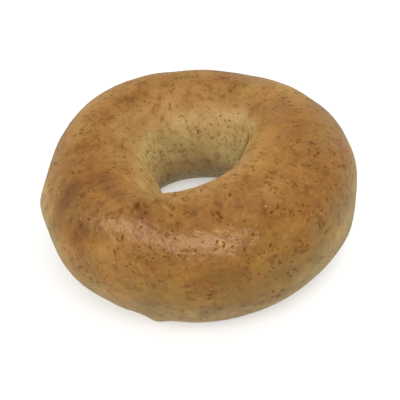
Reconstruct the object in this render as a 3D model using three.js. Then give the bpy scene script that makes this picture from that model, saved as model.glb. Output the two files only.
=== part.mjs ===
// A plain bagel: one ring of dough, rolled by hand, joined end over end, boiled and baked
// on a flat tray. Millimetres, +Z up, and it lies on its baked base.
//
// Every point of the crust is named by two angles. The ring angle runs round the hole from +X
// towards +Y. The section angle runs round the dough: 0 is outward, 90 is the top and 180 faces
// the hole.

import * as THREE from 'three';
import { ParametricGeometry } from 'three/addons/geometries/ParametricGeometry.js';
import { mergeVertices } from 'three/addons/utils/BufferGeometryUtils.js';

// Driving dimensions, all means round the ring.
const OUTER_RADIUS = 54;
const HOLE_RADIUS = 19.4;
const HEIGHT = 40;

// Each wave swells the ring by `swell`, `lobes` times a turn, with one crest at `toward` degrees.
const OUTLINE_WAVES = [
  { lobes: 2, swell: 1.6, toward: 108 },
  { lobes: 3, swell: 0.6, toward: 73 },
  { lobes: 4, swell: 0.3, toward: 28 },
];
const HOLE_WAVES = [
  { lobes: 1, swell: 2.7, toward: 228 },
  { lobes: 2, swell: 3.1, toward: 93 },
  { lobes: 3, swell: 3.3, toward: 17 },
];
const HEIGHT_WAVES = [
  { lobes: 1, swell: 1.2, toward: 288 },
  { lobes: 2, swell: 2.5, toward: 118 },
];

// The dough's section: a slightly squared oval, widest below its middle, pressed flat below.
const SQUARENESS = 2.16;
const WIDEST_LEVEL = 0.46;
const BASE_PRESS = 3;

// The wall of the hole leans: its lower part lies this far over towards this ring angle.
const HOLE_LEAN = 4.7;
const HOLE_LEAN_TOWARD = 354;

// The seam where the dough's ends were lapped: a shallow crease down the wall of the hole, between
// two section angles. It starts off straight down, bends over a few degrees, then slants.
const SEAM_DEPTH = 0.4;
const SEAM_WIDTH = 1.2;
const SEAM_RING = 18.5;
const SEAM_SECTION = 152;
const SEAM_SLOPE = 0.75;
const SEAM_BEND = 12;
const SEAM_FROM = 146;
const SEAM_TO = 190;
const SEAM_FADE = 6;

// Lumps and dents left by hands and tray: the place, the rise, and the spread along the crust.
const LUMPS = [
  { ring: 245, section: -57, rise: 2.1, spread: 2.4 },
  { ring: 253, section: -58, rise: -0.4, spread: 2 },
  { ring: 236, section: -46, rise: -0.5, spread: 3 },
  { ring: 226, section: -38, rise: -0.4, spread: 3 },
  { ring: 213, section: -25, rise: 0.4, spread: 4.5 },
  { ring: 197, section: -2, rise: -0.5, spread: 4 },
  { ring: 186, section: 20, rise: 0.6, spread: 3.3 },
  { ring: 170, section: 35, rise: -0.4, spread: 6 },
  { ring: 90, section: 66, rise: -0.4, spread: 5 },
];

// The crust is never quite even: plane waves cross it, each longer than the one before and
// turned on from it.
const UNEVEN_WAVES = 5;
const UNEVEN_SWELL = 0.09;
const UNEVEN_LENGTH = 14;
const UNEVEN_LENGTH_STEP = 3;
const UNEVEN_TURN = 2.4;
const UNEVEN_CLIMB = 1.3;

// Fineness of the surface. The base is one step of the section, so its facets lie flat.
const RING_STEPS = 144;
const DOME_STEPS = 36;
const SECTION_STEPS = DOME_STEPS + 1;

const CRUST = new THREE.MeshStandardMaterial({
  name: 'baked crust',
  color: 0xae7a42,
  roughness: 0.5,
  metalness: 0,
});

const UP = new THREE.Vector3(0, 0, 1);
const radians = THREE.MathUtils.degToRad;
const smoothstep = THREE.MathUtils.smoothstep;

function sumOfWaves(waves, ringAngle) {
  return waves.reduce(
    (sum, { lobes, swell, toward }) => sum + swell * Math.cos(lobes * (ringAngle - radians(toward))),
    0,
  );
}

// The difference of two angles, brought within half a turn.
function turnBetween(from, to) {
  return Math.atan2(Math.sin(to - from), Math.cos(to - from));
}

function bell(distance) {
  return Math.exp(-0.5 * distance * distance);
}

function signedPower(value, power) {
  return Math.sign(value) * Math.abs(value) ** power;
}

function lumps(ringAngle, sectionAngle) {
  return LUMPS.reduce((sum, { ring, section, rise, spread }) => {
    const along = (OUTER_RADIUS * turnBetween(radians(ring), ringAngle)) / spread;
    const across = (0.5 * HEIGHT * turnBetween(radians(section), sectionAngle)) / spread;
    return sum + rise * bell(Math.hypot(along, across));
  }, 0);
}

function seam(ringAngle, sectionAngle) {
  const section = THREE.MathUtils.radToDeg(sectionAngle);
  const turned = SEAM_SLOPE * (Math.hypot(section - SEAM_SECTION, SEAM_BEND) - SEAM_BEND);
  const across = (HOLE_RADIUS * turnBetween(radians(SEAM_RING + turned), ringAngle)) / SEAM_WIDTH;
  const begun = smoothstep(section, SEAM_FROM - SEAM_FADE, SEAM_FROM + SEAM_FADE);
  const ended = smoothstep(section, SEAM_TO - SEAM_FADE, SEAM_TO + SEAM_FADE);
  return -SEAM_DEPTH * bell(across) * begun * (1 - ended);
}

function unevenness(place) {
  let sum = 0;
  for (let k = 1; k <= UNEVEN_WAVES; k += 1) {
    const heading = UNEVEN_TURN * k;
    const climb = UNEVEN_CLIMB * k;
    const way = new THREE.Vector3(
      Math.cos(heading) * Math.cos(climb),
      Math.sin(heading) * Math.cos(climb),
      Math.sin(climb),
    );
    const length = UNEVEN_LENGTH + UNEVEN_LENGTH_STEP * k;
    sum += UNEVEN_SWELL * Math.sin((2 * Math.PI * place.dot(way)) / length + heading * k);
  }
  return sum;
}

// A point of the crust, with the ring's middle over the origin and the base at height 0.
function crustPoint(ringAngle, step, target) {
  const height = HEIGHT + sumOfWaves(HEIGHT_WAVES, ringAngle);
  const outer = OUTER_RADIUS + sumOfWaves(OUTLINE_WAVES, ringAngle);
  const inner = HOLE_RADIUS + sumOfWaves(HOLE_WAVES, ringAngle);
  const middle = 0.5 * (outer + inner);
  const halfWidth = 0.5 * (outer - inner);
  const belly = WIDEST_LEVEL * height;

  // The section angle sweeps from the base's outer edge over the top to its inner edge.
  const edgeAngle = Math.asin((belly / (belly + BASE_PRESS)) ** (SQUARENESS / 2));
  const sectionAngle = -edgeAngle + ((Math.PI + 2 * edgeAngle) * step) / DOME_STEPS;
  const outward = signedPower(Math.cos(sectionAngle), 2 / SQUARENESS);
  const upward = signedPower(Math.sin(sectionAngle), 2 / SQUARENESS);
  const halfHeight = upward > 0 ? height - belly : belly + BASE_PRESS;

  // Relief moves the smooth crust outward and upward, and leaves the pressed base flat.
  target.set(middle + halfWidth * outward, 0, 0);
  target.applyAxisAngle(UP, ringAngle);
  target.z = belly + halfHeight * upward;
  const relief =
    lumps(ringAngle, sectionAngle) + seam(ringAngle, sectionAngle) + unevenness(target);
  const radius = middle + (halfWidth + relief) * outward;
  const level = Math.max(belly + halfHeight * upward + relief * Math.max(upward, 0), 0);

  const lean = HOLE_LEAN * Math.max(1 - level / height, 0) * Math.max(-outward, 0);
  const leanToward = radians(HOLE_LEAN_TOWARD);
  target.set(
    radius * Math.cos(ringAngle) + lean * Math.cos(leanToward),
    radius * Math.sin(ringAngle) + lean * Math.sin(leanToward),
    level,
  );
}

// The crust as one closed surface, its shared points merged.
function ringOfDough() {
  const grid = new ParametricGeometry(
    (u, v, target) => {
      const ringStep = Math.round(u * RING_STEPS) % RING_STEPS;
      const sectionStep = Math.round(v * SECTION_STEPS) % SECTION_STEPS;
      crustPoint((2 * Math.PI * ringStep) / RING_STEPS, sectionStep, target);
    },
    RING_STEPS,
    SECTION_STEPS,
  );
  grid.deleteAttribute('normal');
  grid.deleteAttribute('uv');
  const closed = mergeVertices(grid);
  closed.computeVertexNormals();
  return closed;
}

// The origin is the middle of the bagel's box, at the level it rests on.
function centredOnBase(geometry) {
  geometry.computeBoundingBox();
  const middle = geometry.boundingBox.getCenter(new THREE.Vector3());
  return geometry.translate(-middle.x, -middle.y, 0);
}

const bagel = new THREE.Mesh(centredOnBase(ringOfDough()), CRUST);
bagel.name = 'bagel';

const part = new THREE.Group();
part.name = 'plain bagel';
part.add(bagel);

export default part;
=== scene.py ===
"""The looks of a plain bagel: a fine crust over the same rolled ring as the CAD solid.

Blender units are metres. The dough's own sizes are written in millimetres, as a baker measures
them, and turned into metres by MM where a mesh is made.

Every point of the crust is named by two angles, written in degrees. The ring angle runs round the
hole from +X towards +Y. The section angle runs round the dough: 0 is outward, 90 is the top, 180
faces the hole and 270 is the base.
"""

import bpy
import numpy as np
from mathutils import Matrix, Vector, noise


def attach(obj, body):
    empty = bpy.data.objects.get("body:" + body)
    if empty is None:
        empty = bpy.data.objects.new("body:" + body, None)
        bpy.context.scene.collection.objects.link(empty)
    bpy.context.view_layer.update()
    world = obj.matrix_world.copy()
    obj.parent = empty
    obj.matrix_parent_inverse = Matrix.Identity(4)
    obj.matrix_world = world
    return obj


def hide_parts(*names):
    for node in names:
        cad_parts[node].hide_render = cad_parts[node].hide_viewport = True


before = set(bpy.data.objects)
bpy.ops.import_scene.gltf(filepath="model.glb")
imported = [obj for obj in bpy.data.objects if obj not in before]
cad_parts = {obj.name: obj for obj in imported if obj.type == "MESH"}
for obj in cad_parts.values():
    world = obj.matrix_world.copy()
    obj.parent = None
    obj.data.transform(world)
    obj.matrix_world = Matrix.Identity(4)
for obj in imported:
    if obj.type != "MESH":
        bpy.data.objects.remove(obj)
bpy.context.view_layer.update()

MM = 0.001

# ---------------------------------------------------------------- the ring, as in the solid
OUTER_RADIUS = 54
HOLE_RADIUS = 19.4
HEIGHT = 40

# (lobes in a turn, swell, ring angle of one crest)
OUTLINE_WAVES = [(2, 1.6, 108), (3, 0.6, 73), (4, 0.3, 28)]
HOLE_WAVES = [(1, 2.7, 228), (2, 3.1, 93), (3, 3.3, 17)]
HEIGHT_WAVES = [(1, 1.2, 288), (2, 2.5, 118)]

# The dough's section, and the lean of the hole's wall.
SQUARENESS = 2.16
WIDEST_LEVEL = 0.46
BASE_PRESS = 3
HOLE_LEAN = 4.7
HOLE_LEAN_TOWARD = 354

# The lapped seam: a shallow crease down the wall of the hole.
SEAM_DEPTH = 0.4
SEAM_WIDTH = 1.2
SEAM_RING = 18.5
SEAM_SECTION = 152
SEAM_SLOPE = 0.75
SEAM_BEND = 12
SEAM_FROM = 146
SEAM_TO = 190
SEAM_FADE = 6

# (ring angle, section angle, rise, spread)
LUMPS = [
    (245, -57, 2.1, 2.4),
    (253, -58, -0.4, 2),
    (236, -46, -0.5, 3),
    (226, -38, -0.4, 3),
    (213, -25, 0.4, 4.5),
    (197, -2, -0.5, 4),
    (186, 20, 0.6, 3.3),
    (170, 35, -0.4, 6),
    (90, 66, -0.4, 5),
]

# Plane waves that keep the crust from being quite even.
UNEVEN_WAVES = 5
UNEVEN_SWELL = 0.09
UNEVEN_LENGTH = 14
UNEVEN_LENGTH_STEP = 3
UNEVEN_TURN = 2.4
UNEVEN_CLIMB = 1.3

# ---------------------------------------------------------------- the fine mesh and its relief
RING_STEPS = 520
DOME_STEPS = 170
BASE_STEPS = 14
MEAN_RADIUS = 37
FACES_HOLE = 180
FACES_DOWN = 270

# Dimples all over: (rise, how far across, noise seed)
DIMPLES = [(0.1, 7, 1), (0.05, 3, 2)]
NOISE_SEED_STEP = 17.3

# Long marks of the stretched dough. The noise is squeezed round the ring or over the section,
# which makes them long, and the twist makes them slant.
WALL_FOLDS = {"rise": 0.09, "width": 1.9, "seed": 3, "squeeze": (1, 0.22)}
STRETCH_MARKS = {"rise": 0.1, "width": 1.7, "seed": 4, "squeeze": (1, 0.16), "twist": 0.55}
BACK_LINES = {"rise": 0.12, "width": 1.6, "seed": 5, "squeeze": (0.1, 1)}

# Where they lie. The folds begin and are full at two section angles. The others lie round a place:
# (ring angle, section angle, spread along the ring, spread along the section)
WALL_FOLDS_BEGIN = (118, 150)
STRETCH_MARKS_PLACE = (262, 66, 18, 11)
BACK_LINES_PLACE = (92, 88, 30, 5)

# Along the seam's middle the edge of the lapped end shows as a fine groove, and the same line is
# darkened in colour as painted shade in the crease.
LAP_WIDTH = 0.6
LAP_DEPTH = 0.4

# ---------------------------------------------------------------- where the crust has browned
# The browned crown lies between two section angles that swing with waves round the ring, and each
# edge fades over this many degrees to both sides.
CROWN_OUTER = 15.5
CROWN_OUTER_WAVES = [(1, 8.4, 89), (2, 15.4, 178), (3, 3.7, 75)]
CROWN_OUTER_EDGE = 20
CROWN_INNER = 133.6
CROWN_INNER_WAVES = [(1, 10.4, 144), (2, 5, 139), (3, 2.9, 118)]
CROWN_INNER_EDGE = 11

# The crown is golden at its inner edge. Some degrees further out it is browner, most in front.
GOLDEN = 0.34
TOP_BROWNER = 0.1
FRONT_BROWNER = 0.14
TOP_BEGINS = (8, 45)

# The sides below the crown are paler, but not the low front.
SIDE_PALER = 0.22
SIDE_ENDS = (-15, 30)
LOW_FRONT = 265
LOW_FRONT_REACH = 34
LOW_FRONT_BROWNER = 0.05

# The wall deep in the hole stays palest, and the tray browns the middle of the base.
DEEP_PALER = 0.2
DEEP_BEGINS = (145, 175)
DEEP_ENDS = (180, 205)
BASE_BROWN = 0.3
BASE_BROWN_SPREAD = 18

# The dull underside fades in over this many degrees below the crown's outer edge, and in front it
# reaches higher. From the hole's wall it fades in again towards the base.
UNDERSIDE_EDGE = 32
LOW_FRONT_DULLER = 14
BASE_DULL_FROM = 232
BASE_DULL_EDGE = 18

# Places browner or paler than what lies round them: (ring angle, section angle, how much browner,
# spread in mm along the ring, spread in mm along the section). Most are the crust's own browning;
# some paler places on the rims and the front crown's top are painted sheen, and some darker places
# low in the hole are painted shade.
BROWNING_AND_PAINTED_LIGHT_PLACES = [
    (205, 67, 0.2, 3, 7),
    (215, 70, 0.08, 4, 6),
    (226, 98, 0.15, 4, 3),
    (210, 99, 0.14, 3, 3.5),
    (247, 84, 0.12, 3, 5),
    (175, 93, 0.12, 4, 4),
    (189, 78, 0.06, 4, 5),
    (121, 113, 0.14, 9, 2.5),
    (62, 92, 0.06, 7, 3.5),
    (72, 93, 0.1, 14, 1.2),
    (12, 110, 0.08, 8, 5),
    (352, 103, 0.15, 6, 5),
    (28, 106, 0.08, 6, 6),
    (154, 107, 0.08, 6, 6),
    (28, 130, 0.08, 4, 4),
    (72, 143, 0.12, 20, 6),
    (14, 149, -0.2, 3, 5),
    # Paler on the back rim: painted glancing sheen.
    (142, 70, -0.26, 9, 5),
    (126, 97, 0.06, 8, 4),
    # This place and the next three, on the rims, are paler as painted glancing sheen.
    (24, 67, -0.26, 8, 5),
    (190, 30, -0.2, 8, 9),
    (338, 28, -0.09, 9, 8),
    (356, 52, -0.07, 7, 6),
    (216, 46, 0.05, 5, 9),
    (232, 52, 0.17, 2.8, 3.5),
    (222, 0, 0.12, 9, 9),
    (258, 30, 0.06, 8, 5),
    (294, 0, 0.04, 9, 7),
    (294, 15, -0.07, 5, 4),
    (263, -18, 0.08, 16, 4),
    # Paler on the front crown's top: painted sheen.
    (274, 100, -0.26, 13, 4),
    (338, 114, -0.16, 6, 4),
    (240, 116, -0.04, 6, 5),
    (105, 80, -0.13, 24, 4),
    # Darker in the hole's left corner: painted shadow.
    (203, 170, 0.15, 5, 5),
    (106, 178, -0.2, 6, 5),
    (24, 163, -0.25, 3, 6),
    (312, 42, -0.05, 7, 6),
    (240, 62, -0.04, 5, 5),
    (280, -44, -0.06, 28, 3),
    (66, 182, 0.42, 1.6, 1.1),
    # This place and the next two, low on the hole's wall, are darker as painted shade.
    (108, 186, 0.14, 3, 3),
    (83, 198, 0.2, 4, 2),
    (60, 197, 0.08, 12, 3),
    (111, 162, 0.16, 0.7, 1.6),
    # Darker low on the hole's wall: painted shade.
    (126, 208, 0.2, 2, 3),
    (111, 122, -0.13, 3, 3),
    # Darker low on the hole's wall: painted shade.
    (118, 202, 0.14, 5, 4),
    (308, -14, -0.09, 4, 4),
    (288, 90, -0.05, 4, 4),
    (240, 50, -0.08, 3, 3.5),
    (262, 74, 0.06, 5, 3.5),
    (272, 12, -0.05, 8, 3),
    (271, 0, 0.08, 4, 3.5),
    (237, 89, 0.08, 4, 3.5),
    (176, 108, -0.05, 5, 4),
    (253, 59, 0.15, 2.7, 4.2),
    (254, 40, 0.07, 5, 4),
    (234, 34, -0.16, 3.5, 4),
    (298, -2, 0.2, 5.5, 4),
    (283, -19, 0.15, 7, 3.5),
    (260, -33, 0.08, 7, 3),
]

# ---------------------------------------------------------------- the crust's colours
# From pale to well browned: (browning, colour)
TONES = [
    (-0.35, (0.53, 0.384, 0.163)),
    (0.0, (0.39, 0.243, 0.088)),
    (0.34, (0.286, 0.149, 0.037)),
    (0.58, (0.2, 0.089, 0.016)),
    (0.78, (0.132, 0.05, 0.006)),
]

# The underside's colours, the browning at which it has each of them, and how ragged its edge is.
UNDERSIDE_PALE = (0.3, 0.21, 0.081, 1)
UNDERSIDE_BROWNED = (0.143, 0.083, 0.024, 1)
UNDERSIDE_BROWNS = (-0.21, 0.36)
UNDERSIDE_SHOWS = (-0.5, 1.0)
UNDERSIDE_RAGGED = {"scale": 90, "swing": 0.35, "detail": 3}

# Mottling of the browning, in the rolled dough and then in the crust: (noise scale, swing)
DOUGH_MOTTLING = (45, 0.075)
CRUST_MOTTLING = [(130, 0.055), (330, 0.05), (900, 0.045)]

# Nearly all of a noise texture's values lie between these.
NOISE_SPAN = (0.3, 0.7)

# The hue wanders between two tints at several noise scales, and less on the hole's wall.
YELLOWER = (0.98, 1.014, 1, 1)
REDDER = (1.02, 0.985, 1.01, 1)
HUE_SCALES = (70, 240, 600)
WALL_HUE_CALM = 0.38

# Parts with a hue of their own, and painted shade. The hole's wall is greener, and its lowest part
# is darker and duller: painted shade deep in the hole.
HUE_AND_PAINTED_SHADE_TINTS = {
    "warmth": (1, 0.975, 0.15, 1),
    "ruddiness": (1.11, 0.94, 0.93, 1),
    "wall": (1.02, 1.08, 1.05, 1),
    # The lowest part of the hole's wall is darkened and dulled as painted shade.
    "painted_hollow_shade": (0.76, 0.85, 0.85, 1),
}
WALL_BEGINS = (150, 175)
# Where the painted shade low in the hole begins and is full.
PAINTED_HOLLOW_SHADE_BEGINS = (197, 214)
WALL_ENDS = (226, 240)

# (ring angle, section angle, share of the tint, spread along the ring, spread along the section)
HUE_PLACES = {
    "warmth": [
        (340, 92, 1, 14, 7.5),
        (215, 99, 0.6, 11, 5),
        (217, -2, 0.33, 9, 6),
        (274, 13, 0.4, 14, 6),
        (223, 45, 0.25, 5, 5),
        (173, 112, 0.25, 5, 5),
    ],
    "ruddiness": [
        (334, 100, 0.85, 12, 6),
        (217, 92, 0.5, 9, 6),
        (176, 106, 0.4, 7, 5),
        (219, -6, 0.9, 9, 6),
    ],
}

# ---------------------------------------------------------------- fine marks in the crust
# Specks: (cells in a metre, radius in cells, share of the cells that hold one, turn, stretch)
MIDDLING_SPECKS = (520, 0.17, 0.7, (1.1, 0.2, 1.3), (0.6, 1, 1))
FINE_SPECKS = (1100, 0.2, 0.5, (0.2, 1.4, 0.7), (1, 1, 0.7))
BLISTERS = (640, 0.17, 0.4, (0.5, 0.9, 0.1), (1, 0.8, 1))
FINE_SPECK_STRENGTH = 0.6
BLISTER_STRENGTH = 0.38
BLISTER_COLOUR = (0.62, 0.42, 0.19, 1)

# One speck's least and most radius and its full core, as shares of the radius, and least strength.
SPECK_SIZES = (0.5, 1.4)
SPECK_CORE = 0.3
SPECK_FAINTEST = 0.4

# Dark clouds: (noise scale, the noise at which they begin, at which they are full, darkness)
SMUDGES = (400, 0.56, 0.66, 0.85)
WALL_SHADOWS = (330, 0.55, 0.68, 0.75)
SMUDGE_DETAIL = 3
SMUDGE_ROUGHNESS = 0.6

# What full darkness does to the colour, and how much of it shows above and on the underside.
DARK_TINT = (0.46, 0.27, 0.01, 1)
WALL_DARK_TINT = (0.4, 0.32, 0.1, 1)
DARK_ABOVE = 0.57
DARK_BELOW = 0.45

# Pale slanting streaks in front. Their place is written as for the marks in relief.
STREAKS_PLACE = (258, 72, 17, 9)
STREAK_SLANT = 0.6
STREAK_SQUEEZE = 0.13
STREAK_SCALE = 700
STREAK_BEGINS = (0.55, 0.7)
STREAK_STRENGTH = 0.11

# The skin: smoother from one browning to another, (pale, baked, roughness when pale, when baked).
CRUST_ROUGHNESS = (0.1, 0.5, 0.46, 0.31)
SHEEN = 0.36
SKIN_SCALE = 1600
SKIN_SHARE = 0.3
PEBBLE_SCALE = 480
BUMP_STRENGTH = 0.9
BUMP_DEPTH = 0.00027

# ---------------------------------------------------------------- flakes of bran
# (how many, shortest, longest, least shade, most shade)
BRAN = [
    (1150, 1.3, 2.5, 0.28, 0.78),
    (1750, 0.95, 2, 0.24, 0.7),
]
BRAN_SEED = 5
BRAN_FLAKES_A_CLUSTER = 3
BRAN_SCATTER = 1.4
BRAN_LOWEST = 1

# Where the bran lies thinner or thicker.
BRAN_LESS_BELOW = 0.4
BRAN_BELOW_ENDS = (-5, 20)
BRAN_MORE_IN_HOLE = 0.4
BRAN_HOLE_BEGINS = (130, 150)
BRAN_LESS_AT_BACK = 0.2
BRAN_BACK_PLACE = (90, 88, 35, 7)

# One flake: points round its rim, its width as a share of its length, how far the rim wanders in
# and out, and how high its top, how deep its rim and how many times as deep its root lies.
BRAN_RIM = 8
BRAN_NARROWNESS = (0.3, 0.75)
BRAN_RAGGEDNESS = (0.5, 1.25)
BRAN_RISE = 0.07
BRAN_SUNK = 0.05
BRAN_ROOT = 3

BRAN_TINT = (0.4, 0.225, 0.01, 1)
BRAN_GRAIN = 2500
BRAN_ROUGHNESS = (0.45, 0.7)
BRAN_SHEEN = 0.07

# ---------------------------------------------------------------- the view and the light
VIEW_AIM = (0.139, -4.629, 12.485)
VIEW_ELEVATION = 37.36
VIEW_DISTANCE = 212.0
VIEW_ROLL = -11.2
VIEW_LENS = 55.2
SENSOR_WIDTH = 36
NEAREST_SEEN = 0.01

FLOOR_SIZE = 12
FLOOR_LEVEL = -0.0001
FLOOR_COLOUR = (0.5, 0.5, 0.5, 1)
FLOOR_ROUGHNESS = 0.9
FLOOR_GLOW = 0.42
WORLD_COLOUR = (1, 1, 1, 1)
WORLD_STRENGTH = 0.41

# The two long lamps: (where from, the long side's way, length, width)
FRONT_STRIP = ((-0.12, -0.67, 0.15), (-0.977, 0.357, 0.237), 0.55, 0.1)
LEFT_STRIP = ((-0.51, -0.23, 0.33), (-0.262, 0.898, 0.352), 0.7, 0.09)

# Lamps that show only as the sheen on the crust, and lamps that only fill, each with its power.
SHEEN_LAMPS = [(*FRONT_STRIP, 3.0), (*LEFT_STRIP, 2.6)]
SHEEN_COLOUR = (1, 0.84, 0.66)
FILL_LAMPS = [
    (*FRONT_STRIP, 2.4),
    (*LEFT_STRIP, 1.75),
    ((0, 0, 0.9), (1, 0, 0), 0.9, 0.9, 2.3),
    ((0.26, -0.4, 0.76), (1, 0, 0), 0.6, 0.6, 4.1),
    ((0.6, 0.34, 0.58), (0, 1, 0), 0.7, 0.7, 4.3),
    ((-0.7, 0.4, 0.38), (0, 1, 0), 0.6, 0.6, 1.35),
]
FILL_COLOUR = (1, 0.99, 0.97)

radians = np.radians


def sum_of_waves(waves, ring):
    return sum(swell * np.cos(lobes * (ring - radians(toward))) for lobes, swell, toward in waves)


def turn_between(start, end):
    """The difference of two angles, brought within half a turn."""
    return np.arctan2(np.sin(end - start), np.cos(end - start))


def bell(distance):
    return np.exp(-0.5 * distance**2)


def signed_power(value, power):
    return np.sign(value) * np.abs(value) ** power


def smooth_step(value, low, high):
    """0 below `low`, 1 above `high` and smooth between them."""
    share = np.clip((value - low) / (high - low), 0, 1)
    return share * share * (3 - 2 * share)


def smooth_fall(value, low, high):
    """1 below `low`, 0 above `high` and smooth between them."""
    return smooth_step(-value, -high, -low)


def unit(vectors):
    return vectors / np.linalg.norm(vectors, axis=-1, keepdims=True)


# ---------------------------------------------------------------- the shape
def lumps(ring, section):
    total = 0
    for at_ring, at_section, rise, spread in LUMPS:
        along = OUTER_RADIUS * turn_between(radians(at_ring), ring) / spread
        across = 0.5 * HEIGHT * turn_between(radians(at_section), section) / spread
        total = total + rise * bell(np.hypot(along, across))
    return total


def seam_share(ring, section, width):
    """1 along the middle of the lapped seam, falling to 0 over the given width."""
    degrees = np.degrees(section)
    turned = SEAM_SLOPE * (np.hypot(degrees - SEAM_SECTION, SEAM_BEND) - SEAM_BEND)
    across = HOLE_RADIUS * turn_between(radians(SEAM_RING + turned), ring) / width
    begun = smooth_step(degrees, SEAM_FROM - SEAM_FADE, SEAM_FROM + SEAM_FADE)
    ended = smooth_step(degrees, SEAM_TO - SEAM_FADE, SEAM_TO + SEAM_FADE)
    return bell(across) * begun * (1 - ended)


def unevenness(x, y, z):
    total = 0
    for k in range(1, UNEVEN_WAVES + 1):
        heading = UNEVEN_TURN * k
        climb = UNEVEN_CLIMB * k
        along = (x * np.cos(heading) + y * np.sin(heading)) * np.cos(climb) + z * np.sin(climb)
        length = UNEVEN_LENGTH + UNEVEN_LENGTH_STEP * k
        total = total + UNEVEN_SWELL * np.sin(2 * np.pi * along / length + heading * k)
    return total


def crust_points(ring, share, more_relief=0):
    """Points of the dome, and their section angles.

    The share runs from 0 at the base's outer edge, over the top, to 1 at its inner edge.
    """
    height = HEIGHT + sum_of_waves(HEIGHT_WAVES, ring)
    outer = OUTER_RADIUS + sum_of_waves(OUTLINE_WAVES, ring)
    inner = HOLE_RADIUS + sum_of_waves(HOLE_WAVES, ring)
    middle = 0.5 * (outer + inner)
    half_width = 0.5 * (outer - inner)
    belly = WIDEST_LEVEL * height

    edge = np.arcsin((belly / (belly + BASE_PRESS)) ** (SQUARENESS / 2))
    section = -edge + (np.pi + 2 * edge) * share
    outward = signed_power(np.cos(section), 2 / SQUARENESS)
    upward = signed_power(np.sin(section), 2 / SQUARENESS)
    half_height = np.where(upward > 0, height - belly, belly + BASE_PRESS)

    smooth_radius = middle + half_width * outward
    smooth_level = belly + half_height * upward
    smooth_x, smooth_y = smooth_radius * np.cos(ring), smooth_radius * np.sin(ring)
    relief = lumps(ring, section) + seam_share(ring, section, SEAM_WIDTH) * -SEAM_DEPTH
    relief = relief + unevenness(smooth_x, smooth_y, smooth_level) + more_relief
    radius = middle + (half_width + relief) * outward
    level = np.maximum(smooth_level + relief * np.maximum(upward, 0), 0)

    lean = HOLE_LEAN * np.maximum(1 - level / height, 0) * np.maximum(-outward, 0)
    x = radius * np.cos(ring) + lean * np.cos(radians(HOLE_LEAN_TOWARD))
    y = radius * np.sin(ring) + lean * np.sin(radians(HOLE_LEAN_TOWARD))
    return np.stack([x, y, level], -1), section


def noise_at(points, length, seed):
    """Smooth noise of about -1 to 1, whose lumps are about the given length across."""
    flat = points.reshape(-1, 3) / length + NOISE_SEED_STEP * seed
    values = np.fromiter((noise.noise(p) for p in flat.tolist()), float, len(flat))
    return values.reshape(points.shape[:-1])


def rolled(ring, section, twist=0):
    """Places on the dough as it was rolled, before it was bent, but seamless round the ring."""
    turned = ring + twist * section
    across = 0.5 * HEIGHT * section
    return np.stack([MEAN_RADIUS * np.cos(turned), MEAN_RADIUS * np.sin(turned), across], -1)


def place_share(ring, section, at_ring, at_section, along, across):
    """1 at a place on the crust, falling to 0 over these distances."""
    far_along = MEAN_RADIUS * turn_between(radians(at_ring), ring) / along
    far_across = 0.5 * HEIGHT * (section - radians(at_section)) / across
    return bell(np.hypot(far_along, far_across))


def sum_of_places(places, ring, section):
    total = 0
    for at_ring, at_section, amount, along, across in places:
        total = total + amount * place_share(ring, section, at_ring, at_section, along, across)
    return total


def long_marks(ring, section, share, rise, width, seed, squeeze, twist=0):
    """Relief of long marks in the skin, where the share isn't 0."""
    round_ring, over_section = squeeze
    places = rolled(ring, section, twist) * (round_ring, round_ring, over_section)
    return rise * share * noise_at(places, width, seed)


def fine_relief(points, ring, section):
    """The crust's low relief: dimples all over, and the marks of the stretched dough."""
    dimples = sum(rise * noise_at(points, across, seed) for rise, across, seed in DIMPLES)
    wall = smooth_step(section, *radians(WALL_FOLDS_BEGIN))
    front = place_share(ring, section, *STRETCH_MARKS_PLACE)
    back = place_share(ring, section, *BACK_LINES_PLACE)
    return (
        dimples
        + long_marks(ring, section, wall, **WALL_FOLDS)
        + long_marks(ring, section, front, **STRETCH_MARKS)
        + long_marks(ring, section, back, **BACK_LINES)
        - LAP_DEPTH * seam_share(ring, section, LAP_WIDTH)
    )


class Dome:
    """The crust above the base, as a grid of points by ring step and section step."""

    def __init__(self):
        self.ring = np.linspace(0, 2 * np.pi, RING_STEPS, endpoint=False)[:, None]
        share = np.linspace(0, 1, DOME_STEPS + 1)[None, :]
        smooth, section = crust_points(self.ring, share)
        relief = fine_relief(smooth, np.broadcast_to(self.ring, section.shape), section)
        self.points, self.section = crust_points(self.ring, share, relief)
        flat = self.points.reshape(-1, 3)
        middle = (flat.min(0) + flat.max(0)) / 2
        self.points -= [middle[0], middle[1], 0]

        self.along_ring = (np.roll(self.points, -1, 0) - np.roll(self.points, 1, 0)) / 2
        self.along_section = np.gradient(self.points, axis=1)
        self.normals = unit(np.cross(self.along_ring, self.along_section))

    def at(self, grid, i, j):
        """The grid's value between its points, wrapping round the ring."""
        i0 = np.floor(i).astype(int)
        j0 = np.clip(np.floor(j).astype(int), 0, DOME_STEPS - 1)
        share_i = (i - i0)[..., None]
        share_j = (j - j0)[..., None]
        this_i, next_i = i0 % RING_STEPS, (i0 + 1) % RING_STEPS
        near = grid[this_i, j0] * (1 - share_i) + grid[next_i, j0] * share_i
        far = grid[this_i, j0 + 1] * (1 - share_i) + grid[next_i, j0 + 1] * share_i
        return near * (1 - share_j) + far * share_j


# ---------------------------------------------------------------- how far it has baked
def crown_edges(ring):
    """The section angles, in degrees, between which the crust has browned."""
    outer_edge = CROWN_OUTER + sum_of_waves(CROWN_OUTER_WAVES, ring)
    inner_edge = CROWN_INNER + sum_of_waves(CROWN_INNER_WAVES, ring)
    return outer_edge, inner_edge


def low_front_share(ring):
    """1 at the front, falling to 0 towards both sides."""
    return bell(turn_between(radians(LOW_FRONT), ring) / radians(LOW_FRONT_REACH))


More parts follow.
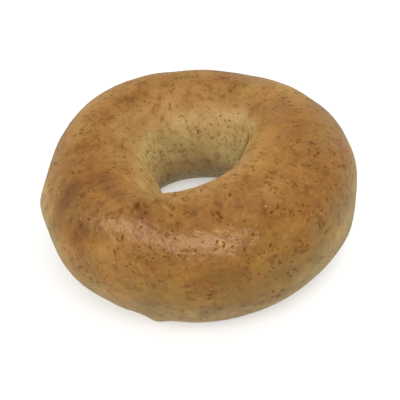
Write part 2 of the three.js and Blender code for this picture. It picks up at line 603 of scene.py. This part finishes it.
def browning_and_painted_light(ring, section):
    """How far the crust has baked: 0 is pale, about 0.4 golden and 0.8 dark brown.

    Some listed places add painted sheen and painted shade to it.
    """
    degrees = np.degrees(section)
    outer_edge, inner_edge = crown_edges(ring)
    crown = smooth_step(degrees, outer_edge - CROWN_OUTER_EDGE, outer_edge + CROWN_OUTER_EDGE)
    crown = crown * smooth_fall(
        degrees, inner_edge - CROWN_INNER_EDGE, inner_edge + CROWN_INNER_EDGE
    )
    top = smooth_step(inner_edge - degrees, *TOP_BEGINS)
    front = 0.5 - 0.5 * np.sin(ring)
    baked = crown * (GOLDEN + top * (TOP_BROWNER + FRONT_BROWNER * front))

    below = smooth_fall(degrees, *SIDE_ENDS) * (degrees < FACES_HOLE)
    low_front = low_front_share(ring)
    sides = below * (LOW_FRONT_BROWNER * low_front - SIDE_PALER * (1 - low_front))
    deep = smooth_step(degrees, *DEEP_BEGINS) * smooth_fall(degrees, *DEEP_ENDS)
    base = bell((degrees - FACES_DOWN) / BASE_BROWN_SPREAD)
    baked = baked + sides - DEEP_PALER * deep + BASE_BROWN * base
    # The listed places add browning, and also painted sheen on the rims and painted shade low in
    # the hole.
    return baked + sum_of_places(BROWNING_AND_PAINTED_LIGHT_PLACES, ring, section)


def underside(ring, section):
    """1 on the dull side below the crown and on the base, -1 on the crown and in the hole."""
    degrees = np.degrees(section)
    outer_edge, _ = crown_edges(ring)
    reaches = outer_edge + LOW_FRONT_DULLER * low_front_share(ring)
    low_side = np.clip((reaches - degrees) / UNDERSIDE_EDGE, -1, 1)
    low_wall = np.clip((degrees - BASE_DULL_FROM) / BASE_DULL_EDGE, -1, 1)
    return np.where(degrees < FACES_HOLE, low_side, low_wall)


def wall_share(section, begins):
    """0 above one section angle of the hole's wall and 1 below another, but 0 on the base."""
    degrees = np.degrees(section)
    return smooth_step(degrees, *begins) * smooth_fall(degrees, *WALL_ENDS)


# ---------------------------------------------------------------- the meshes
def smooth_mesh(name, points, faces):
    """A mesh in metres from points in millimetres."""
    corners = faces.shape[-1]
    mesh = bpy.data.meshes.new(name)
    mesh.from_pydata(
        (points.reshape(-1, 3) * MM).tolist(), [], faces.reshape(-1, corners).tolist()
    )
    mesh.shade_smooth()
    return mesh


def put_values(mesh, name, values):
    layer = mesh.attributes.new(name, "FLOAT", "POINT")
    layer.data.foreach_set("value", np.ascontiguousarray(values, np.float32).ravel())


def put_vectors(mesh, name, vectors):
    layer = mesh.attributes.new(name, "FLOAT_VECTOR", "POINT")
    layer.data.foreach_set("vector", np.ascontiguousarray(vectors, np.float32).ravel())


def put_tone(mesh, ring, section):
    """Puts on each point what crust_tone reads."""
    put_values(mesh, "browning_and_painted_light", browning_and_painted_light(ring, section))
    put_values(mesh, "underside", underside(ring, section))
    for name, places in HUE_PLACES.items():
        put_values(mesh, name, np.minimum(sum_of_places(places, ring, section), 1))
    put_values(mesh, "wall", wall_share(section, WALL_BEGINS))
    put_values(mesh, "painted_hollow_shade", wall_share(section, PAINTED_HOLLOW_SHADE_BEGINS))
    put_vectors(mesh, "rolled", rolled(ring, section) * MM)


def bagel_mesh(dome):
    """The crust as one closed surface with its base."""
    # The base joins the dome's two edges on the level it rests on.
    steps = np.linspace(0, 1, BASE_STEPS + 1)[1:-1]
    outer, inner = dome.points[:, :1], dome.points[:, -1:]
    base = inner + (outer - inner) * steps[:, None]
    base[..., 2] = 0
    points = np.concatenate([dome.points, base], 1)
    outer, inner = dome.section[:, :1], dome.section[:, -1:]
    base_section = inner + (2 * np.pi + outer - inner) * steps
    section = np.concatenate([dome.section, base_section], 1)
    ring = np.broadcast_to(dome.ring, section.shape)

    index = np.arange(section.size).reshape(section.shape)
    next_ring = np.roll(index, -1, 0)
    quads = np.stack([index, next_ring, np.roll(next_ring, -1, 1), np.roll(index, -1, 1)], -1)

    mesh = smooth_mesh("bagel_crust", points, quads)
    put_tone(mesh, ring, section)
    # A dark line of painted shade along the seam's crease.
    put_values(mesh, "painted_seam_shade", seam_share(ring, section, LAP_WIDTH))
    put_values(mesh, "stretched", place_share(ring, section, *STREAKS_PLACE))
    return mesh


def bran_share(ring, section):
    """How thickly the bran lies."""
    degrees = np.degrees(section)
    in_hole = 1 + BRAN_MORE_IN_HOLE * smooth_step(degrees, *BRAN_HOLE_BEGINS)
    below = 1 - BRAN_LESS_BELOW * smooth_fall(degrees, *BRAN_BELOW_ENDS)
    at_back = 1 - BRAN_LESS_AT_BACK * place_share(ring, section, *BRAN_BACK_PLACE)
    return in_hole * below * at_back


def bran_places(rng, dome, count):
    """Grid places for flakes, drawn evenly over the crust in loose clusters."""
    area = np.linalg.norm(np.cross(dome.along_ring, dome.along_section), axis=-1)
    above = dome.points[..., 2] > BRAN_LOWEST
    area = (area * bran_share(dome.ring, dome.section) * above).ravel()
    middles = count // BRAN_FLAKES_A_CLUSTER + 1
    clusters = rng.choice(area.size, size=middles, p=area / area.sum())
    drawn = rng.choice(clusters, size=count)
    i, j = np.divmod(drawn, DOME_STEPS + 1)
    step_i = np.linalg.norm(dome.along_ring[i, j], axis=-1)
    step_j = np.linalg.norm(dome.along_section[i, j], axis=-1)
    i = i + rng.normal(0, BRAN_SCATTER, count) / step_i
    j = np.clip(j + rng.normal(0, BRAN_SCATTER, count) / step_j, 0, DOME_STEPS)
    above = dome.at(dome.points, i, j)[:, 2] > BRAN_LOWEST
    return i[above], j[above]


def flakes(rng, dome, count, shortest, longest, least_shade, most_shade):
    """The points of each flake, its rim first, then its two angles and its shade."""
    i, j = bran_places(rng, dome, count)
    count = len(i)
    place = dome.at(dome.points, i, j)
    normal = unit(dome.at(dome.normals, i, j))
    heading = rng.uniform(0, 2 * np.pi, count)[:, None]
    east = unit(dome.at(dome.along_ring, i, j))
    north = np.cross(normal, east)
    long_way = east * np.cos(heading) + north * np.sin(heading)
    short_way = np.cross(normal, long_way)

    half_long = 0.5 * rng.uniform(shortest, longest, count)
    half_short = half_long * rng.uniform(*BRAN_NARROWNESS, count)
    ragged = rng.uniform(*BRAN_RAGGEDNESS, (count, BRAN_RIM))
    turn = np.arange(BRAN_RIM) * 2 * np.pi / BRAN_RIM
    along = (half_long[:, None] * np.cos(turn) * ragged)[..., None]
    across = (half_short[:, None] * np.sin(turn) * ragged)[..., None]
    out = long_way[:, None] * along + short_way[:, None] * across

    rim = place[:, None] + out - normal[:, None] * BRAN_SUNK
    top = place[:, None] + normal[:, None] * BRAN_RISE
    root = place[:, None] - normal[:, None] * BRAN_ROOT * BRAN_SUNK
    ring = i * 2 * np.pi / RING_STEPS
    section = dome.at(dome.section[..., None], i, j)[:, 0]
    shade = rng.uniform(least_shade, most_shade, count)
    return np.concatenate([rim, top, root], 1), ring, section, shade


def bran_mesh(dome):
    """Flakes of bran, each a small closed lens pressed into the crust."""
    rng = np.random.default_rng(BRAN_SEED)
    kinds = [flakes(rng, dome, *kind) for kind in BRAN]
    points, ring, section, shade = (np.concatenate(part) for part in zip(*kinds))

    rim = np.arange(BRAN_RIM)
    next_rim = np.roll(rim, -1)
    top, root = np.full(BRAN_RIM, BRAN_RIM), np.full(BRAN_RIM, BRAN_RIM + 1)
    upper, lower = np.stack([rim, next_rim, top], -1), np.stack([next_rim, rim, root], -1)
    each = points.shape[1]
    starts = np.arange(len(points))[:, None, None] * each

    mesh = smooth_mesh("bran_flakes", points, starts + np.concatenate([upper, lower]))
    put_tone(mesh, np.repeat(ring, each), np.repeat(section, each))
    put_values(mesh, "shade", np.repeat(shade, each))
    return mesh


# ---------------------------------------------------------------- the materials
class Nodes:
    """Short calls for the nodes of one material."""

    def __init__(self, name):
        self.material = bpy.data.materials.new(name)
        self.material.use_nodes = True
        self.tree = self.material.node_tree
        self.surface = self.tree.nodes["Principled BSDF"]

    def feed(self, socket, value):
        if isinstance(value, bpy.types.NodeSocket):
            self.tree.links.new(value, socket)
        else:
            socket.default_value = value

    def shade(self, values):
        """Feeds the shader's own sockets, by name."""
        for name, value in values.items():
            self.feed(self.surface.inputs[name], value)

    def add(self, kind, inputs, output=0, **settings):
        node = self.tree.nodes.new(kind)
        for key, value in settings.items():
            setattr(node, key, value)
        for key, value in inputs.items():
            self.feed(node.inputs[key], value)
        return node.outputs[output]

    def attribute(self, name, output="Fac"):
        return self.add("ShaderNodeAttribute", {}, output, attribute_name=name)

    def places(self):
        return self.add("ShaderNodeTexCoord", {}, "Object")

    def maths(self, operation, a, b):
        return self.add("ShaderNodeMath", {0: a, 1: b}, operation=operation)

    def plus(self, a, b):
        return self.maths("ADD", a, b)

    def times(self, a, b):
        return self.maths("MULTIPLY", a, b)

    def largest(self, value, *others):
        for other in others:
            value = self.maths("MAXIMUM", value, other)
        return value

    def remap(self, value, low, high, to_low=0.0, to_high=1.0):
        inputs = {"From Min": low, "From Max": high, "To Min": to_low, "To Max": to_high}
        inputs["Value"] = value
        return self.add("ShaderNodeMapRange", inputs, interpolation_type="SMOOTHSTEP")

    def mix(self, share, a, b):
        inputs = {"Factor": share, 6: a, 7: b}
        return self.add("ShaderNodeMix", inputs, 2, data_type="RGBA")

    def tint(self, colour, by):
        """A colour multiplied by another."""
        inputs = {"Factor": 1.0, 6: colour, 7: by}
        return self.add("ShaderNodeMix", inputs, 2, data_type="RGBA", blend_type="MULTIPLY")

    def noise(self, places, scale, detail=2.0, roughness=0.5):
        inputs = {"Vector": places, "Scale": scale, "Detail": detail, "Roughness": roughness}
        return self.add("ShaderNodeTexNoise", inputs)

    def cloud(self, places, scale, swing, detail=2.0):
        """Noise of about -swing to swing."""
        return self.remap(self.noise(places, scale, detail), *NOISE_SPAN, -swing, swing)

    def ramp(self, value, stops):
        colour = self.add("ShaderNodeValToRGB", {"Fac": value})
        elements = colour.node.color_ramp.elements
        for position, _ in stops[2:]:
            elements.new(position)
        for element, (position, tone) in zip(elements, stops):
            element.position = position
            element.color = (*tone, 1)
        return colour

    def stretched(self, places, scale, turn=(0, 0, 0)):
        inputs = {"Vector": places, "Scale": scale, "Rotation": turn}
        return self.add("ShaderNodeMapping", inputs)


def specks(n, places, scale, radius, share, turn, stretch):
    """Up to 1 on a fine speck, and 0 off it."""
    mapped = n.stretched(places, stretch, turn)
    distance = n.add("ShaderNodeTexVoronoi", {"Vector": mapped, "Scale": scale}, "Distance")
    colour = distance.node.outputs["Color"]
    chances = n.add("ShaderNodeSeparateColor", {0: colour}).node.outputs
    least, most = SPECK_SIZES
    size = n.remap(chances[0], 0.0, 1.0, least * radius, most * radius)
    spot = n.remap(distance, size, n.times(size, SPECK_CORE))
    there = n.maths("LESS_THAN", chances[1], share)
    strength = n.remap(chances[2], 0.0, 1.0, SPECK_FAINTEST, 1.0)
    return n.times(n.times(spot, there), strength)


def smudges(n, places, scale, begins, full, darkness):
    cloud = n.noise(places, scale, SMUDGE_DETAIL, SMUDGE_ROUGHNESS)
    return n.remap(cloud, begins, full, 0.0, darkness)


def stretch_streaks(n):
    """Pale slanting streaks, where the skin of the dough was stretched as it was bent."""
    slanted = n.stretched(n.attribute("rolled", "Vector"), (1, 1, 1), (0, STREAK_SLANT, 0))
    drawn_out = n.stretched(slanted, (1, 1, STREAK_SQUEEZE))
    streaks = n.remap(n.noise(drawn_out, STREAK_SCALE), *STREAK_BEGINS)
    return n.times(streaks, n.attribute("stretched"))


def crust_tone(n, places):
    """The crust's colour before any fine marks, with painted shade low in the hole, and how far it
    has baked at each place, which at some listed places carries painted sheen and shade too.
    """
    in_dough = n.cloud(n.attribute("rolled", "Vector"), *DOUGH_MOTTLING)
    # The browning read here carries some painted sheen and painted shade from the listed places.
    baked = n.plus(n.attribute("browning_and_painted_light"), in_dough)
    for scale, swing in CRUST_MOTTLING:
        baked = n.plus(baked, n.cloud(places, scale, swing))

    least, most = TONES[0][0], TONES[-1][0]
    share = n.add("ShaderNodeMapRange", {"Value": baked, "From Min": least, "From Max": most})
    stops = [((level - least) / (most - least), colour) for level, colour in TONES]
    dull = n.mix(n.remap(baked, *UNDERSIDE_BROWNS), UNDERSIDE_PALE, UNDERSIDE_BROWNED)
    ragged = n.plus(n.attribute("underside"), n.cloud(places, **UNDERSIDE_RAGGED))
    colour = n.mix(n.remap(ragged, *UNDERSIDE_SHOWS), n.ramp(share, stops), dull)

    least_shift = n.times(n.attribute("wall"), WALL_HUE_CALM)
    most_shift = n.maths("SUBTRACT", 1.0, least_shift)
    for scale in HUE_SCALES:
        shift = n.remap(n.noise(places, scale), *NOISE_SPAN, least_shift, most_shift)
        colour = n.tint(colour, n.mix(shift, YELLOWER, REDDER))
    # These tints give the parts their hue, and the lowest part of the hole its painted shade.
    for name, hue_and_shade in HUE_AND_PAINTED_SHADE_TINTS.items():
        colour = n.mix(n.attribute(name), colour, n.tint(colour, hue_and_shade))
    return colour, baked


def darkness(n, places):
    """How dark each place is from fine bran, smudges, the wall's painted shadows and the painted
    shade along the seam's crease.
    """
    marks = n.largest(
        specks(n, places, *MIDDLING_SPECKS),
        n.times(specks(n, places, *FINE_SPECKS), FINE_SPECK_STRENGTH),
        smudges(n, places, *SMUDGES),
        n.times(smudges(n, places, *WALL_SHADOWS), n.attribute("wall")),
    )
    shows = n.remap(n.attribute("underside"), 0.0, 1.0, DARK_ABOVE, DARK_BELOW)
    # The seam's crease is darkened here as painted shade.
    return n.largest(n.times(marks, shows), n.attribute("painted_seam_shade"))


def crust_material():
    n = Nodes("baked_crust")
    places = n.places()
    tone, baked = crust_tone(n, places)
    dark_tint = n.mix(n.attribute("wall"), DARK_TINT, WALL_DARK_TINT)
    colour = n.mix(darkness(n, places), tone, n.tint(tone, dark_tint))
    blisters = n.times(specks(n, places, *BLISTERS), BLISTER_STRENGTH)
    colour = n.mix(blisters, colour, BLISTER_COLOUR)
    streaks = n.times(stretch_streaks(n), STREAK_STRENGTH)
    colour = n.mix(streaks, colour, BLISTER_COLOUR)

    skin = n.times(n.noise(places, SKIN_SCALE), SKIN_SHARE)
    height = n.plus(skin, n.noise(places, PEBBLE_SCALE, detail=1))
    bump = {"Strength": BUMP_STRENGTH, "Distance": BUMP_DEPTH, "Height": height}
    n.shade({
        "Base Color": colour,
        "Roughness": n.remap(baked, *CRUST_ROUGHNESS),
        "Specular IOR Level": SHEEN,
        "Normal": n.add("ShaderNodeBump", bump),
    })
    return n.material


def bran_material():
    n = Nodes("bran")
    places = n.places()
    tone, _ = crust_tone(n, places)
    grain = n.noise(places, BRAN_GRAIN, detail=1)
    n.shade({
        "Base Color": n.mix(n.attribute("shade"), tone, n.tint(tone, BRAN_TINT)),
        "Roughness": n.remap(grain, *NOISE_SPAN, *BRAN_ROUGHNESS),
        "Specular IOR Level": BRAN_SHEEN,
    })
    return n.material


# ---------------------------------------------------------------- the scene
def put_in_scene(name, mesh, material):
    piece = bpy.data.objects.new(name, mesh)
    bpy.context.scene.collection.objects.link(piece)
    mesh.materials.append(material)
    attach(piece, "root")
    return piece


def lay_floor():
    half = FLOOR_SIZE / 2
    corners = [(-half, -half, 0), (half, -half, 0), (half, half, 0), (-half, half, 0)]
    mesh = bpy.data.meshes.new("floor")
    mesh.from_pydata(corners, [], [(0, 1, 2, 3)])
    floor = bpy.data.objects.new("floor", mesh)
    floor.location.z = FLOOR_LEVEL
    bpy.context.scene.collection.objects.link(floor)
    pale = Nodes("pale_floor")
    pale.shade({
        "Base Color": FLOOR_COLOUR,
        "Roughness": FLOOR_ROUGHNESS,
        "Emission Color": WORLD_COLOUR,
        "Emission Strength": FLOOR_GLOW,
    })
    floor.data.materials.append(pale.material)
    floor.visible_glossy = False


def soft_lamp(place, long_way, length, width, power, sheen):
    """A lamp that looks at the origin and makes either the sheen or only the fill."""
    lamp = bpy.data.lights.new("soft_lamp", "AREA")
    lamp.shape = "RECTANGLE"
    lamp.size = length
    lamp.size_y = width
    lamp.energy = power
    lamp.color = SHEEN_COLOUR if sheen else FILL_COLOUR
    back = place.normalized()
    across = (long_way - back * long_way.dot(back)).normalized()
    turned = Matrix((across, back.cross(across), back)).transposed().to_4x4()
    held = bpy.data.objects.new("soft_lamp", lamp)
    held.matrix_world = Matrix.Translation(place) @ turned
    held.visible_glossy = sheen
    held.visible_diffuse = not sheen
    bpy.context.scene.collection.objects.link(held)


def studio():
    lay_floor()
    for sheen, lamps in ((True, SHEEN_LAMPS), (False, FILL_LAMPS)):
        for place, long_way, length, width, power in lamps:
            soft_lamp(Vector(place), Vector(long_way), length, width, power, sheen)

    world = bpy.data.worlds.new("white_room")
    world.use_nodes = True
    room = world.node_tree.nodes["Background"]
    room.inputs["Color"].default_value = WORLD_COLOUR
    room.inputs["Strength"].default_value = WORLD_STRENGTH
    bpy.context.scene.world = world
    bpy.context.scene.view_settings.view_transform = "Standard"


def camera():
    elevation = radians(VIEW_ELEVATION)
    roll = radians(VIEW_ROLL)
    right = Vector((1, 0, 0))
    up = Vector((0, np.sin(elevation), np.cos(elevation)))
    back = Vector((0, -np.cos(elevation), np.sin(elevation)))
    across = right * np.cos(roll) + up * np.sin(roll)
    upright = up * np.cos(roll) - right * np.sin(roll)

    data = bpy.data.cameras.new("camera")
    data.lens = VIEW_LENS
    data.sensor_width = SENSOR_WIDTH
    data.clip_start = NEAREST_SEEN
    made = bpy.data.objects.new("camera", data)
    bpy.context.scene.collection.objects.link(made)
    turned = Matrix((across, upright, back)).transposed().to_4x4()
    place = (Vector(VIEW_AIM) + back * VIEW_DISTANCE) * MM
    made.matrix_world = Matrix.Translation(place) @ turned
    bpy.context.scene.camera = made


dome = Dome()
bagel_crust = put_in_scene("bagel_crust", bagel_mesh(dome), crust_material())
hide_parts("bagel")
put_in_scene("bran_flakes", bran_mesh(dome), bran_material())
studio()
camera()
